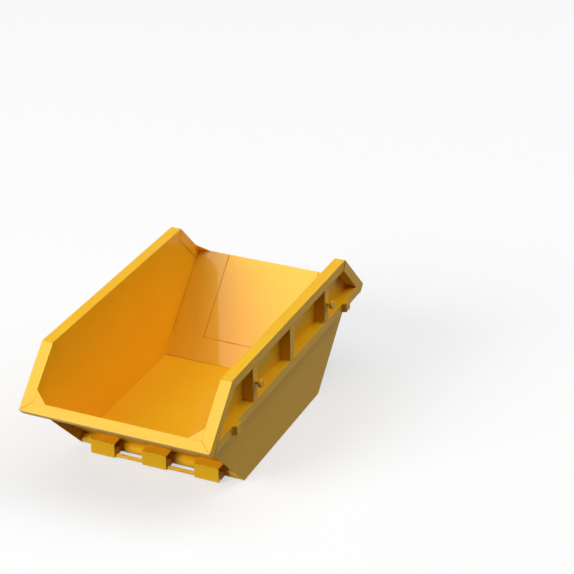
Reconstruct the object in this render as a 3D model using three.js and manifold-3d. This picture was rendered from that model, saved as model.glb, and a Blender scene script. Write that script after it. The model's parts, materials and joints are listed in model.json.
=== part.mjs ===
// A six-yard builder's skip: an open steel tub with sloping ends, a framed rim, four lifting lugs,
// a tipping bar under one end and a drop door in the other.
// Lengths are in millimetres. X runs along the skip with the drop door at +X, Y runs across it
// with the left side at +Y, and Z is up from the ground. The origin is on the ground in the middle.
import * as THREE from 'three';
import { mergeVertices } from 'three/addons/utils/BufferGeometryUtils.js';
import Module from 'manifold-3d';

const wasm = await Module();
wasm.setup();

// Whole skip
const floorHalfLength = 775;
const endSlope = Math.PI / 4;
const rimSlopeHeight = 1091;
const chamferLength = 605.5;
const tubHalfWidth = 755;

// Sheet steel and the gaps between neighbours
const sidePlateThickness = 4;
const endPlateThickness = 4;
const floorThickness = 5;
const sectionWall = 3;
const seat = 0.3;
const cutOverrun = 20;

// Rim frame: top rails, chamfer rails and end rims
const railDepth = 89;
const railLedge = 7;
const topRailWidth = 98;
const chamferRailWidth = 102;
const endRimWidth = 92;
const endRimOverhang = 56;

// Plates stiffening the rim's inner corners
const cornerGussetAlongRail = 104;
const cornerGussetAlongRim = 109;
const cornerGussetThickness = 8;

// Side frame: lower rail, posts, lugs and blocks
const lowerRailRise = 13;
const lowerRailHeight = 89;
const lowerRailDepth = 95;
const postSpacing = 735;
const postWidth = 88;
const postDepth = 92;
const lugDrop = 137;
const lugShaftRadius = 18;
const lugShaftLength = 38;
const lugHeadRadius = 37;
const lugHeadThickness = 24;
const blockInset = 288;
const blockWidth = 80;
const blockFlare = 16;
const blockHeight = 84;
const blockDepth = 38;

// Underside
const floorHeight = 60;
const runnerInset = 355;
const runnerWidth = 80;
const doorEndRailWidth = 80;

// Tipping end
const tubeRadius = 48;
const tubeWall = 5;
const tubeInset = 22;
const tubeBite = 5.5;
const bracketStandOff = 161.5;
const bracketBottom = 18.5;
const bracketTop = 150;
const bracketWidth = 223;
const bracketInset = 274;
const bracketThickness = 6;
const bracketWebThickness = 8;
const webFrontDrop = 20;
const webBackRise = 10;
const tippingBarRadius = 16;
const tippingBarSetback = 29.5;
const tippingBarHeight = 33;

// Drop door and the sheets round it
const doorHalfWidth = 444;
const doorBottom = 277;
const doorClearance = 3;
const doorStileWidth = 50;
const doorFrameDepth = 48;
const doorBottomRailRise = 80;
const wingStileWidth = 50;
const wingStileDepth = 58;

// Door hinges, across the door's bottom edge
const hingeSpacing = 300;
const eyeRadius = 18;
const eyeLength = 48;
const eyeClearance = 1;
const eyeBehind = 2;
const tongueThickness = 10;
const tongueLength = 60;
const pinRadius = 9;
const pinHeadRadius = 14;
const pinHeadThickness = 6;
const pinPlay = 0.4;

// Door latches, hanging from a pivot on each wing stile
const latchDrop = 150;
const latchInset = 32;
const latchEyeRadius = 25;
const latchArmWidth = 36;
const latchArmLength = 352;
const latchThickness = 12;
const latchFingerDrop = 292;
const latchFingerHeight = 40;
const latchFingerLap = 15;
const latchPlay = 1;
const latchPivotRadius = 10;
const latchPivotHeadRadius = 17;
const latchPivotHeadThickness = 9;

// Facets of round pieces
const tubeFacets = 32;
const pinFacets = 24;

// Worked out from the sizes above
const slopeCos = Math.cos(endSlope);
const slopeSin = Math.sin(endSlope);
const sideOuter = tubHalfWidth + sidePlateThickness;
const railInner = tubHalfWidth - railLedge;
const topRailOuter = railInner + topRailWidth;
const rimOuter = railInner + chamferRailWidth;
const postOuter = sideOuter + postDepth;
const lowerRailOuter = sideOuter + lowerRailDepth;
const rimUnderside = rimSlopeHeight - railDepth;
const rimInnerOut = endRimOverhang - endRimWidth;
const floorUnderside = floorHeight - floorThickness;
const sheetInnerOut = rimInnerOut;
const sheetOuterOut = sheetInnerOut + endPlateThickness;
const runnerSpacing = tubHalfWidth - runnerInset;
const bracketSpacing = tubHalfWidth - bracketInset;
const tubePlace = floorHalfLength - tubeInset;
const tubeLanding = tubeRadius - tubeBite;
const bracketFront = tubePlace + bracketStandOff;
const tippingBarPlace = bracketFront - tippingBarSetback;

const ends = [['bar_end', -1], ['door_end', 1]];
const sides = [['left', 1], ['right', -1]];

// A place on an end of the skip: out is square to the end's slope and up runs up it, both from the
// bottom corner of the side plates, and y is across the skip.
function onSlope(end, out, up, y) {
  const x = floorHalfLength + up * slopeCos + out * slopeSin;
  return new THREE.Vector3(end * x, y, up * slopeSin - out * slopeCos);
}

// The distance out of the slope at which a line square to it, at up, reaches a height.
function outAtHeight(up, height) {
  return (up * slopeSin - height) / slopeCos;
}

// The distance up the slope at which a line along it, at out, reaches a height.
function upAtHeight(out, height) {
  return (height + out * slopeCos) / slopeSin;
}

function mix(from, to, share) {
  return from + (to - from) * share;
}

// Turns a closed shape's faces outwards, whichever way its corners were listed.
function facingOut(corners, triangles) {
  let volume = 0;
  for (let i = 0; i < triangles.length; i += 3) {
    const [a, b, c] = [0, 1, 2].map((k) => corners[triangles[i + k]]);
    volume += a.dot(b.clone().cross(c));
  }
  const outward = volume < 0 ? triangles.slice().reverse() : triangles;
  const geometry = new THREE.BufferGeometry().setFromPoints(corners);
  geometry.setIndex(outward);
  return geometry;
}

// A solid between two rings of corners. With inner rings it is a tube between them.
function loft(outerStart, outerEnd, innerStart, innerEnd) {
  const count = outerStart.length;
  const corners = [...outerStart, ...outerEnd];
  const triangles = [];
  const quad = (a, b, c, d) => triangles.push(a, b, c, a, c, d);
  const next = (i) => (i + 1) % count;
  for (let i = 0; i < count; i += 1) {
    quad(i, next(i), count + next(i), count + i);
  }
  if (innerStart) {
    const inner = corners.length;
    corners.push(...innerStart, ...innerEnd);
    for (let i = 0; i < count; i += 1) {
      const j = next(i);
      quad(inner + j, inner + i, inner + count + i, inner + count + j);
      quad(j, i, inner + i, inner + j);
      quad(count + i, count + j, inner + count + j, inner + count + i);
    }
  } else {
    for (let i = 1; i < count - 1; i += 1) {
      triangles.push(0, i + 1, i);
      triangles.push(count, count + i, count + i + 1);
    }
  }
  return facingOut(corners, triangles);
}

// The four corners of a section at one end of a rail. reach gives how far along the rail
// each corner lies, so that a mitred end is a slanting reach.
function sectionRing(place, a, b, reach, inset) {
  const corners = [[a[0] + inset, b[0] + inset], [a[1] - inset, b[0] + inset],
    [a[1] - inset, b[1] - inset], [a[0] + inset, b[1] - inset]];
  return corners.map(([p, q]) => place(p, q, reach(p, q)));
}

// A length of hollow box section, open at both ends.
function boxSection(place, a, b, start, end, wall = sectionWall) {
  return loft(sectionRing(place, a, b, start, 0), sectionRing(place, a, b, end, 0),
    sectionRing(place, a, b, start, wall), sectionRing(place, a, b, end, wall));
}

// A solid bar of rectangular section.
function solidBar(place, a, b, start, end, inset = 0) {
  return loft(sectionRing(place, a, b, start, inset), sectionRing(place, a, b, end, inset));
}

// A flat plate: an outline of [a, b] points between two levels.
function plate(place, outline, low, high) {
  const ring = (level) => outline.map(([a, b]) => place(a, b, level));
  return loft(ring(low), ring(high));
}

// Points of a circle, or of a tube's bore, seen along its axis.
function circle(centreA, centreB, radius, facets) {
  return Array.from({ length: facets }, (_, i) => {
    const angle = (i + 1 / 2) * 2 * Math.PI / facets;
    return [centreA + radius * Math.cos(angle), centreB + radius * Math.sin(angle)];
  });
}

function rod(place, centreA, centreB, radius, low, high, facets = pinFacets) {
  return plate(place, circle(centreA, centreB, radius, facets), low, high);
}

function toSolid(geometry) {
  const bare = new THREE.BufferGeometry();
  bare.setAttribute('position', geometry.getAttribute('position').clone());
  bare.setIndex(geometry.getIndex().clone());
  const merged = mergeVertices(bare);
  return new wasm.Manifold(new wasm.Mesh({
    numProp: 3,
    vertProperties: new Float32Array(merged.getAttribute('position').array),
    triVerts: new Uint32Array(merged.getIndex().array),
  }));
}

function fromSolid(solid) {
  const mesh = solid.getMesh();
  const geometry = new THREE.BufferGeometry();
  geometry.setAttribute('position', new THREE.BufferAttribute(mesh.vertProperties, mesh.numProp));
  geometry.setIndex(new THREE.BufferAttribute(mesh.triVerts, 1));
  return geometry;
}

function joined(...geometries) {
  return fromSolid(geometries.map(toSolid).reduce((whole, more) => whole.add(more)));
}

function cut(geometry, ...tools) {
  return fromSolid(tools.map(toSolid).reduce((whole, tool) => whole.subtract(tool), toSolid(geometry)));
}

// Ways to place a section or an outline
const sideView = (x, z, y) => new THREE.Vector3(x, y, z);
const crossSection = (y, z, x) => new THREE.Vector3(x, y, z);
const fromAbove = (x, y, z) => new THREE.Vector3(x, y, z);
const slopeProfile = (end) => (out, up, y) => onSlope(end, out, up, y);
const slopeFace = (end) => (y, up, out) => onSlope(end, out, up, y);

// Finishes
const yellowPaint = new THREE.MeshStandardMaterial({
  color: 0xe9a81f, roughness: 0.38, metalness: 0.0,
});
const wornSteel = new THREE.MeshStandardMaterial({
  color: 0x77736c, roughness: 0.5, metalness: 0.9,
});

const skip = new THREE.Group();

function add(name, geometry, material = yellowPaint) {
  const mesh = new THREE.Mesh(geometry, material);
  mesh.name = name;
  skip.add(mesh);
}

// Corners where the top rails meet the chamfer rails, seen from the side
const topCorner = onSlope(1, endRimOverhang - chamferLength, rimSlopeHeight, 0);
const topHeight = topCorner.z;
const topRailUnderside = topHeight - railDepth;
const topInnerCorner = onSlope(1, outAtHeight(rimUnderside, topRailUnderside), rimUnderside, 0);

// Where a rail's mitred end lies at a height or a distance up the slope
function topRailReach(z) {
  return mix(topInnerCorner.x, topCorner.x, (z - topRailUnderside) / railDepth) - seat;
}

function chamferRailTopReach(up) {
  const share = (up - rimUnderside) / railDepth;
  const innerReach = outAtHeight(rimUnderside, topRailUnderside);
  return mix(innerReach, endRimOverhang - chamferLength, share) + seat;
}

function chamferRailBottomReach(y) {
  return mix(rimInnerOut, endRimOverhang, (y - railInner) / chamferRailWidth) - seat;
}

function endRimReach(out) {
  return mix(railInner, rimOuter, (out - rimInnerOut) / endRimWidth) - seat;
}

// Top rails
for (const [side, sign] of sides) {
  const place = (y, z, x) => crossSection(sign * y, z, x);
  add(`top_rail_${side}`, boxSection(place, [railInner, topRailOuter], [topRailUnderside, topHeight],
    (y, z) => -topRailReach(z), (y, z) => topRailReach(z)));
}

// Chamfer rails, from the top rails down to the end rims
for (const [endName, end] of ends) {
  for (const [side, sign] of sides) {
    const place = (y, up, out) => onSlope(end, out, up, sign * y);
    add(`${endName}_chamfer_rail_${side}`, boxSection(place, [railInner, rimOuter],
      [rimUnderside, rimSlopeHeight], (y, up) => chamferRailTopReach(up), (y) => chamferRailBottomReach(y)));
  }
}

// The whole rim across the tipping end
const rimSection = [[rimInnerOut, endRimOverhang], [rimUnderside, rimSlopeHeight]];
add('bar_end_rim', boxSection(slopeProfile(-1), ...rimSection,
  (out) => -endRimReach(out), (out) => endRimReach(out)));

// Beside the door, the rim is a stub with its end closed towards the door
const doorSeam = doorClearance / 2;
const openingHalfWidth = doorHalfWidth + doorSeam;
const leafHalfWidth = doorHalfWidth - doorSeam;
for (const [side, sign] of sides) {
  const place = (out, up, y) => onSlope(1, out, up, sign * y);
  const body = solidBar(place, ...rimSection, () => openingHalfWidth, (out) => endRimReach(out));
  const hollow = solidBar(place, ...rimSection, () => openingHalfWidth + sectionWall,
    (out) => endRimReach(out) + cutOverrun, sectionWall);
  add(`door_end_rim_${side}`, cut(body, hollow));
}

// Gussets lie in the plane of the rim's top face
for (const [endName, end] of ends) {
  for (const [side, sign] of sides) {
    const place = (out, y, up) => onSlope(end, out, up, sign * y);
    const cornerOut = rimInnerOut - seat;
    const cornerY = railInner - seat;
    const outline = [[cornerOut, cornerY], [cornerOut - cornerGussetAlongRail, cornerY],
      [cornerOut, cornerY - cornerGussetAlongRim]];
    add(`${endName}_corner_gusset_${side}`,
      plate(place, outline, rimSlopeHeight - cornerGussetThickness, rimSlopeHeight));
  }
}

// Side plates: their sloping edges stand proud of the end plates as a weld lap
const sidePlateTop = rimUnderside - seat;
const sidePlateCorner = onSlope(1, 0, sidePlateTop, 0);
const sidePlateTopHeight = topRailUnderside - seat;
const sidePlateTopHalf = onSlope(1, outAtHeight(sidePlateTop, sidePlateTopHeight), sidePlateTop, 0).x;
const sideOutline = [[-floorHalfLength, 0], [floorHalfLength, 0],
  [sidePlateCorner.x, sidePlateCorner.z], [sidePlateTopHalf, sidePlateTopHeight],
  [-sidePlateTopHalf, sidePlateTopHeight], [-sidePlateCorner.x, sidePlateCorner.z]];
for (const [side, sign] of sides) {
  add(`side_plate_${side}`, plate(sideView, sideOutline, sign * tubHalfWidth, sign * sideOuter));
}

// Lower rails: they lie just above the rim's lowest edge, and their ends are cut to the underside
// of the chamfer rails.
const lowerRailBottom = onSlope(1, endRimOverhang, rimUnderside, 0).z + lowerRailRise;
const lowerRailTop = lowerRailBottom + lowerRailHeight;
function lowerRailReach(z) {
  return onSlope(1, outAtHeight(rimUnderside - seat, z), rimUnderside - seat, 0).x;
}
const sideFrameInner = sideOuter + seat;
for (const [side, sign] of sides) {
  const place = (y, z, x) => crossSection(sign * y, z, x);
  add(`lower_rail_${side}`, boxSection(place, [sideFrameInner, lowerRailOuter],
    [lowerRailBottom, lowerRailTop],
    (y, z) => -lowerRailReach(z), (y, z) => lowerRailReach(z)));
}

// Posts between the lower rails and the top rails
const posts = [['bar_end', -postSpacing], ['middle', 0], ['door_end', postSpacing]];
const postSpan = [lowerRailTop + seat, topRailUnderside - seat];
for (const [side, sign] of sides) {
  for (const [postName, x] of posts) {
    const place = (px, y, z) => new THREE.Vector3(px, sign * y, z);
    add(`${postName}_post_${side}`, boxSection(place, [x - postWidth / 2, x + postWidth / 2],
      [sideFrameInner, postOuter], () => postSpan[0], () => postSpan[1]));
  }
}

// Lifting lugs: a shaft with a wide head, on the posts near the ends
const lugHeight = topRailUnderside - lugDrop;
const lugHeadFace = postOuter + lugShaftLength + lugHeadThickness;
for (const [side, sign] of sides) {
  for (const [endName, end] of ends) {
    const place = (x, z, y) => sideView(x, z, sign * y);
    const x = end * postSpacing;
    const shaft = rod(place, x, lugHeight, lugShaftRadius, postOuter + seat,
      lugHeadFace - lugHeadThickness / 2);
    const head = rod(place, x, lugHeight, lugHeadRadius, lugHeadFace - lugHeadThickness, lugHeadFace,
      tubeFacets);
    add(`${endName}_lifting_lug_${side}`, joined(shaft, head));
  }
}

// Blocks on the lower rails, where the chain and the lorry's arms rub. They widen towards the rail.
const blockMiddle = lowerRailReach(lowerRailTop) - blockInset;
const blockNear = blockMiddle - blockWidth / 2;
const blockFar = blockMiddle + blockWidth / 2;
const blockFace = lowerRailOuter + blockDepth;
const blockOutline = [[blockNear - blockFlare, lowerRailOuter + seat], [blockNear, blockFace],
  [blockFar, blockFace], [blockFar + blockFlare, lowerRailOuter + seat]];
for (const [side, sign] of sides) {
  for (const [endName, end] of ends) {
    const place = (x, y, z) => fromAbove(end * x, sign * y, z);
    add(`${endName}_rail_block_${side}`,
      plate(place, blockOutline, lowerRailTop - blockHeight, lowerRailTop));
  }
}

// Tube across the bottom of the tipping end
const insideHalfWidth = tubHalfWidth - seat;
const tubeAxis = [-tubePlace, tubeRadius];
const tubeClearance = rod(sideView, ...tubeAxis, tubeRadius + seat, -tubHalfWidth, tubHalfWidth, tubeFacets);
const tubeRing = (radius, y) => circle(...tubeAxis, radius, tubeFacets).map(([x, z]) => sideView(x, z, y));
add('bar_end_bottom_tube', loft(
  tubeRing(tubeRadius, -insideHalfWidth), tubeRing(tubeRadius, insideHalfWidth),
  tubeRing(tubeRadius - tubeWall, -insideHalfWidth), tubeRing(tubeRadius - tubeWall, insideHalfWidth)));

// The tipping end's plate hangs from the rim's inner edge and lands on top of the tube.
// hang is where its inner face meets the rim, and lean is the angle of that face.
const hang = onSlope(-1, rimInnerOut, rimUnderside - seat, 0);
const hangX = hang.x - tubeAxis[0];
const hangZ = hang.z - tubeAxis[1];
const lean = Math.atan2(hangZ, -hangX) - Math.asin(tubeLanding / Math.hypot(hangX, hangZ));
const leanCos = Math.cos(lean);
const leanSin = Math.sin(lean);
const alongLean = (from, distance) => [from[0] + distance * leanCos, from[1] - distance * leanSin];
const throughPlate = (from, depth) => [from[0] - depth * leanSin, from[1] - depth * leanCos];
const landing = [tubeAxis[0] + tubeLanding * leanSin, tubeAxis[1] + tubeLanding * leanCos];
const plateLength = Math.hypot(hang.x - landing[0], hang.z - landing[1]);
const plateHead = alongLean(landing, -plateLength);
const plateOuterHead = onSlope(-1, rimInnerOut + endPlateThickness, rimUnderside - seat, 0);
const barEndSheet = plate(sideView, [landing, plateHead, [plateOuterHead.x, plateOuterHead.z],
  throughPlate(landing, endPlateThickness)], -insideHalfWidth, insideHalfWidth);
add('bar_end_plate', cut(barEndSheet, tubeClearance));

// The height of the tipping end plate's outer face, and its place along the skip at a height
const outerLanding = throughPlate(landing, endPlateThickness);
function barEndOuterX(height) {
  const share = (height - outerLanding[1]) / (plateOuterHead.z - outerLanding[1]);
  return mix(outerLanding[0], plateOuterHead.x, share);
}

// Floor, from the tube to the sill's inner face
const floorDoorEnd = (z) => onSlope(1, sheetInnerOut - seat, upAtHeight(sheetInnerOut - seat, z), 0).x;
const floorSheet = plate(sideView, [[tubeAxis[0], floorUnderside],
  [floorDoorEnd(floorUnderside), floorUnderside], [floorDoorEnd(floorHeight), floorHeight],
  [tubeAxis[0], floorHeight]], -insideHalfWidth, insideHalfWidth);
add('floor_plate', cut(floorSheet, tubeClearance));

// Underside: a cross rail under the door end, and two runners from the tube to it
const underFloor = [0, floorUnderside - seat];
const doorEndRailOuter = onSlope(1, sheetInnerOut - seat, upAtHeight(sheetInnerOut - seat, 0), 0).x;
const doorEndRailInner = doorEndRailOuter - doorEndRailWidth;
add('door_end_bottom_rail', boxSection(sideView, [doorEndRailInner, doorEndRailOuter], underFloor,
  () => -insideHalfWidth, () => insideHalfWidth));

const runnerStart = tubeAxis[0] + tubeRadius + seat;
const runnerEnd = doorEndRailInner - seat;
for (const [side, sign] of sides) {
  const place = (y, z, x) => crossSection(sign * y, z, x);
  add(`floor_runner_${side}`, boxSection(place,
    [runnerSpacing - runnerWidth / 2, runnerSpacing + runnerWidth / 2], underFloor,
    () => runnerStart, () => runnerEnd));
}

// Tipping brackets: a front plate and a top plate over two webs, which are cut round the tube
// and notched for the tipping bar.
const brackets = [['left', bracketSpacing], ['middle', 0], ['right', -bracketSpacing]];
const frontBack = -bracketFront + bracketThickness;
const barClearance = rod(sideView, -tippingBarPlace, tippingBarHeight, tippingBarRadius + seat,
  -rimOuter, rimOuter);
const bracketBack = (z) => barEndOuterX(z) - seat;
const coverUnderside = bracketTop - bracketThickness;
const webFrontHeight = bracketTop - webFrontDrop;
const webBackHeight = tubeRadius + webBackRise;
const webLength = bracketFront - bracketThickness - tubePlace - tubeRadius;
const webSlope = (webFrontHeight - webBackHeight) / webLength;
const webEndHeight = webBackHeight - webSlope * tubeRadius;
const webOutline = [[frontBack - bracketThickness / 2, bracketBottom],
  [frontBack - bracketThickness / 2, webFrontHeight], [frontBack, webFrontHeight],
  [tubeAxis[0], webEndHeight], [tubeAxis[0], Math.min(bracketBottom, webEndHeight)]];
for (const [name, middle] of brackets) {
  const low = middle - bracketWidth / 2;
  const high = middle + bracketWidth / 2;
  const hood = plate(sideView, [[-bracketFront, bracketBottom], [-bracketFront, bracketTop],
    [frontBack, bracketTop], [frontBack, bracketBottom]], low, high);
  const cover = plate(sideView, [[frontBack - bracketThickness / 2, coverUnderside],
    [frontBack - bracketThickness / 2, bracketTop], [bracketBack(bracketTop), bracketTop],
    [bracketBack(coverUnderside), coverUnderside]], low, high);
  const webs = [low, high - bracketWebThickness].map((y) => (
    cut(plate(sideView, webOutline, y, y + bracketWebThickness), tubeClearance, barClearance)));
  add(`tipping_bracket_${name}`, joined(hood, cover, ...webs));
}

const tippingBarReach = bracketSpacing - bracketWidth / 2 + bracketWebThickness;
add('tipping_bar', rod(sideView, -tippingBarPlace, tippingBarHeight, tippingBarRadius,
  -tippingBarReach, tippingBarReach));

// Sheets of the door end: a sill under the door and a wing on each side of it
const doorFace = slopeFace(1);
const sillTop = doorBottom - doorSeam;
const sillOutline = (out) => [upAtHeight(out, 0), sillTop];
add('door_end_sill', loft(
  ...[-insideHalfWidth, insideHalfWidth].map((y) => [
    onSlope(1, sheetInnerOut, sillOutline(sheetInnerOut)[0], y),
    onSlope(1, sheetOuterOut, sillOutline(sheetOuterOut)[0], y),
    onSlope(1, sheetOuterOut, sillTop, y),
    onSlope(1, sheetInnerOut, sillTop, y),
  ])));

const wingBottom = sillTop + seat;
const wingTop = rimUnderside - seat;
for (const [side, sign] of sides) {
  const place = (y, up, out) => doorFace(sign * y, up, out);
  add(`door_end_wing_${side}`, solidBar(place, [openingHalfWidth, insideHalfWidth],
    [wingBottom, wingTop], () => sheetInnerOut, () => sheetOuterOut));
}

// A stile on each wing carries its latch
const frameBack = sheetOuterOut + seat;
const wingStileFace = sheetOuterOut + wingStileDepth;
for (const [side, sign] of sides) {
  const place = (y, out, up) => doorFace(sign * y, up, out);
  add(`wing_stile_${side}`, boxSection(place, [openingHalfWidth, openingHalfWidth + wingStileWidth],
    [frameBack, wingStileFace], () => wingBottom, () => wingTop));
}

// Drop door: a panel framed by a rim rail, two stiles and a bottom rail
const leafBottom = doorBottom + doorSeam;
const doorFrameFace = sheetOuterOut + doorFrameDepth;
add('door_panel', solidBar(doorFace, [-leafHalfWidth, leafHalfWidth], [leafBottom, wingTop],
  () => sheetInnerOut, () => sheetOuterOut));

const doorRim = solidBar(slopeProfile(1), ...rimSection, () => -leafHalfWidth, () => leafHalfWidth);
const doorRimHollow = solidBar(slopeProfile(1), ...rimSection,
  () => sectionWall - leafHalfWidth, () => leafHalfWidth - sectionWall, sectionWall);
const drain = rod((y, out, up) => onSlope(1, out, up, y), 0, endRimOverhang - endRimWidth / 4,
  pinRadius, rimUnderside - sectionWall, rimUnderside + 2 * sectionWall);
add('door_rim', cut(doorRim, doorRimHollow, drain));

const doorFrameBottom = leafBottom + seat;
for (const [side, sign] of sides) {
  const place = (y, out, up) => doorFace(sign * y, up, out);
  add(`door_stile_${side}`, boxSection(place, [leafHalfWidth - doorStileWidth, leafHalfWidth],
    [frameBack, doorFrameFace], () => doorFrameBottom, () => wingTop));
}

const crossReach = leafHalfWidth - doorStileWidth - seat;
const bottomRailLow = leafBottom + doorBottomRailRise;
add('door_bottom_rail', boxSection(slopeProfile(1), [frameBack, doorFrameFace],
  [bottomRailLow, bottomRailLow + doorStileWidth], () => -crossReach, () => crossReach));

// Hinges: a leaf on the sill has two eyes and takes the door's eye between them, and one long pin
// runs through both hinges.
const hingeOut = sheetOuterOut + eyeBehind + eyeRadius;
const hingeUp = doorBottom;
const eyePitch = eyeLength + eyeClearance;
const hingeProfile = slopeProfile(1);
const leafDepth = [frameBack, frameBack + tongueThickness];
const hingeHalfWidth = eyePitch + eyeLength / 2;
const hingeBore = rod(hingeProfile, hingeOut, hingeUp, pinRadius + pinPlay, -sideOuter, sideOuter);

// One eye with a tongue running down or up the sheet that it is welded to
function hingeEye(middle, towards) {
  const width = [middle - eyeLength / 2, middle + eyeLength / 2];
  const barrel = rod(hingeProfile, hingeOut, hingeUp, eyeRadius, ...width);
  const root = hingeUp + towards * doorSeam;
  const tip = hingeUp + towards * (doorSeam + tongueLength);
  const tongue = solidBar(hingeProfile, leafDepth, [Math.min(root, tip), Math.max(root, tip)],
    () => width[0], () => width[1]);
  return joined(barrel, tongue);
}

for (const [side, sign] of sides) {
  const middle = sign * hingeSpacing;
  const leafTop = hingeUp - eyeRadius - doorSeam;
  const leaf = solidBar(hingeProfile, leafDepth, [hingeUp - doorSeam - tongueLength, leafTop],
    () => middle - hingeHalfWidth, () => middle + hingeHalfWidth);
  const eyes = [-1, 1].map((way) => hingeEye(middle + way * eyePitch, -1));
  add(`sill_hinge_${side}`, cut(joined(leaf, ...eyes), hingeBore));
  add(`door_hinge_${side}`, cut(hingeEye(middle, 1), hingeBore));
}

const pinReach = hingeSpacing + hingeHalfWidth + eyeClearance;
const pinHeads = [-1, 1].map((way) => rod(hingeProfile, hingeOut, hingeUp, pinHeadRadius,
  way * pinReach, way * (pinReach + pinHeadThickness)));
const pinShank = rod(hingeProfile, hingeOut, hingeUp, pinRadius,
  -pinReach - pinHeadThickness / 2, pinReach + pinHeadThickness / 2);
add('hinge_pin', joined(pinShank, ...pinHeads), wornSteel);

// Latches: an arm hangs down the slope beside the door, and its finger laps over the door's stile
const latchHeight = rimUnderside - latchDrop;
const latchY = openingHalfWidth + latchInset;
const latchBack = wingStileFace + latchPlay;
const latchFront = latchBack + latchThickness;
const fingerReach = latchY - leafHalfWidth + latchFingerLap;
for (const [side, sign] of sides) {
  const place = (y, up, out) => doorFace(sign * y, up, out);
  const eye = rod(place, latchY, latchHeight, latchEyeRadius, latchBack, latchFront);
  const arm = solidBar(place, [latchY - latchArmWidth / 2, latchY + latchArmWidth / 2],
    [latchHeight - latchArmLength, latchHeight], () => latchBack, () => latchFront);
  const fingerMiddle = latchHeight - latchFingerDrop;
  const finger = solidBar(place, [latchY - fingerReach, latchY],
    [fingerMiddle - latchFingerHeight / 2, fingerMiddle + latchFingerHeight / 2],
    () => latchBack, () => latchFront);
  const bore = rod(place, latchY, latchHeight, latchPivotRadius + pinPlay,
    latchBack - cutOverrun, latchFront + cutOverrun);
  add(`latch_arm_${side}`, cut(joined(eye, arm, finger), bore));
}

const pivotHeadBack = latchFront + latchPlay;
for (const [side, sign] of sides) {
  const place = (y, up, out) => doorFace(sign * y, up, out);
  const shank = rod(place, latchY, latchHeight, latchPivotRadius, wingStileFace + seat,
    pivotHeadBack + latchPivotHeadThickness / 2);
  const head = rod(place, latchY, latchHeight, latchPivotHeadRadius, pivotHeadBack,
    pivotHeadBack + latchPivotHeadThickness);
  add(`latch_pivot_${side}`, joined(shank, head), wornSteel);
}

export default skip;
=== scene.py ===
"""Looks of a builders skip: painted sheet steel, welds, worn pins, and the studio it stands in.

Lengths are in metres. X runs along the skip with the drop door at +X, Y runs across it with the left
side at +Y, and Z is up from the ground.
"""

import json
import math

import bmesh
import bpy
from bpy.props import FloatProperty, FloatVectorProperty, IntProperty, PointerProperty
from mathutils import Matrix, Vector
from mathutils.geometry import intersect_point_line

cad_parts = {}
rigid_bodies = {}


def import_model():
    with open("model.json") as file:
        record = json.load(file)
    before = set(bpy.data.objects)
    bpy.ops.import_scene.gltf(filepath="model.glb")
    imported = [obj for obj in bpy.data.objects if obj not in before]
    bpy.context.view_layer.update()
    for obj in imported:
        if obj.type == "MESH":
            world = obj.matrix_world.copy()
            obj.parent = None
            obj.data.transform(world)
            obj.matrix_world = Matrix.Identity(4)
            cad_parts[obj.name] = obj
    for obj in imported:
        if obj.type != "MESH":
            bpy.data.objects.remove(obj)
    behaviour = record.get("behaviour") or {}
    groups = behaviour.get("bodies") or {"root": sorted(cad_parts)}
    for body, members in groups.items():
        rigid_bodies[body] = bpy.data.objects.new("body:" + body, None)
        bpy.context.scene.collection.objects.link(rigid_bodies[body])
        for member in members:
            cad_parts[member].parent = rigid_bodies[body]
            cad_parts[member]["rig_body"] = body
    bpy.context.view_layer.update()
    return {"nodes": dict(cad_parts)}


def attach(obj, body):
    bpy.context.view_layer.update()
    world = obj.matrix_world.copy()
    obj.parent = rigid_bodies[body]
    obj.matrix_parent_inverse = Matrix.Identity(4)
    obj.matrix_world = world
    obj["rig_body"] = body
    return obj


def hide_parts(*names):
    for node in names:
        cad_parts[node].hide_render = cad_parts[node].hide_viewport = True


bl_info = {
    "name": "Builders Skip",
    "version": (1, 0, 0),
    "blender": (4, 5, 0),
    "location": "3D View > Sidebar > Skip",
    "description": "Finishes the builders skip with paint, rounded edges, welds and worn pins",
    "category": "Add Mesh",
}

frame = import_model()
NODES = frame["nodes"]

SIDES = (("left", 1), ("right", -1))
ENDS = (("bar_end", -1), ("door_end", 1))
POSTS = ("bar_end", "middle", "door_end")

# Ways along, up and across the skip, off the door end's slope and off the tipping end's plate
DOORWARD = (1, 0, 0)
BARWARD = (-1, 0, 0)
UP = (0, 0, 1)
DOWN = (0, 0, -1)
LENGTHWAYS = (DOORWARD, BARWARD)
CROSSWAYS = ((0, 1, 0), (0, -1, 0))
DOOR_INWARD = (-1, 0, 1)
DOOR_OUTWARD = (1, 0, -1)
DOOR_UPWARD = (1, 0, 1)
DOOR_DOWNWARD = (-1, 0, -1)
BAR_INWARD = (1, 0, 1)
BAR_OUTWARD = (-1, 0, -1)
BAR_UPWARD = (-1, 0, 1)
BAR_DOWNWARD = (1, 0, -1)

# Angles that tell a flat face, a round one and an edge apart
FLAT_ANGLE = math.radians(0.6)
EDGE_ANGLE = math.radians(28)

# Points closer together than this are one
MERGE_DISTANCE = 1e-5

# How squarely a face looks a way, as a cosine: in a seam, and beside a flush edge
SEAM_SHARE = 0.55
SQUARE_SHARE = 0.99

# Decimals of that cosine by which a weld picks the face that it runs along
FACING_DECIMALS = 2

# A weld bead's facets. In radii of the bead: how far its middle stands off both faces of its corner,
# the radius left at its ends, how far these stop short of the seam's ends, and how far off its pin
# the points of a bead round a pin can be
BEAD_FACETS = 10
BEAD_STAND = 0.55
BEAD_TIP = 0.4
BEAD_MARGIN = 2.0
BEAD_REACH = 3.0

# Attributes that the materials read: rounded edges, edges in a seam, and the distance along a weld
EDGE = "edge"
SEAM = "seam"
RUN = "run"

# Finishes, none of which may bear the name of a material that the frame brings along
PAINTED_STEEL = "painted_steel"
RUBBED_PAINT = "rubbed_paint"
PAINTED_WELD = "painted_weld"
BARE_STEEL = "bare_steel"

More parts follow.
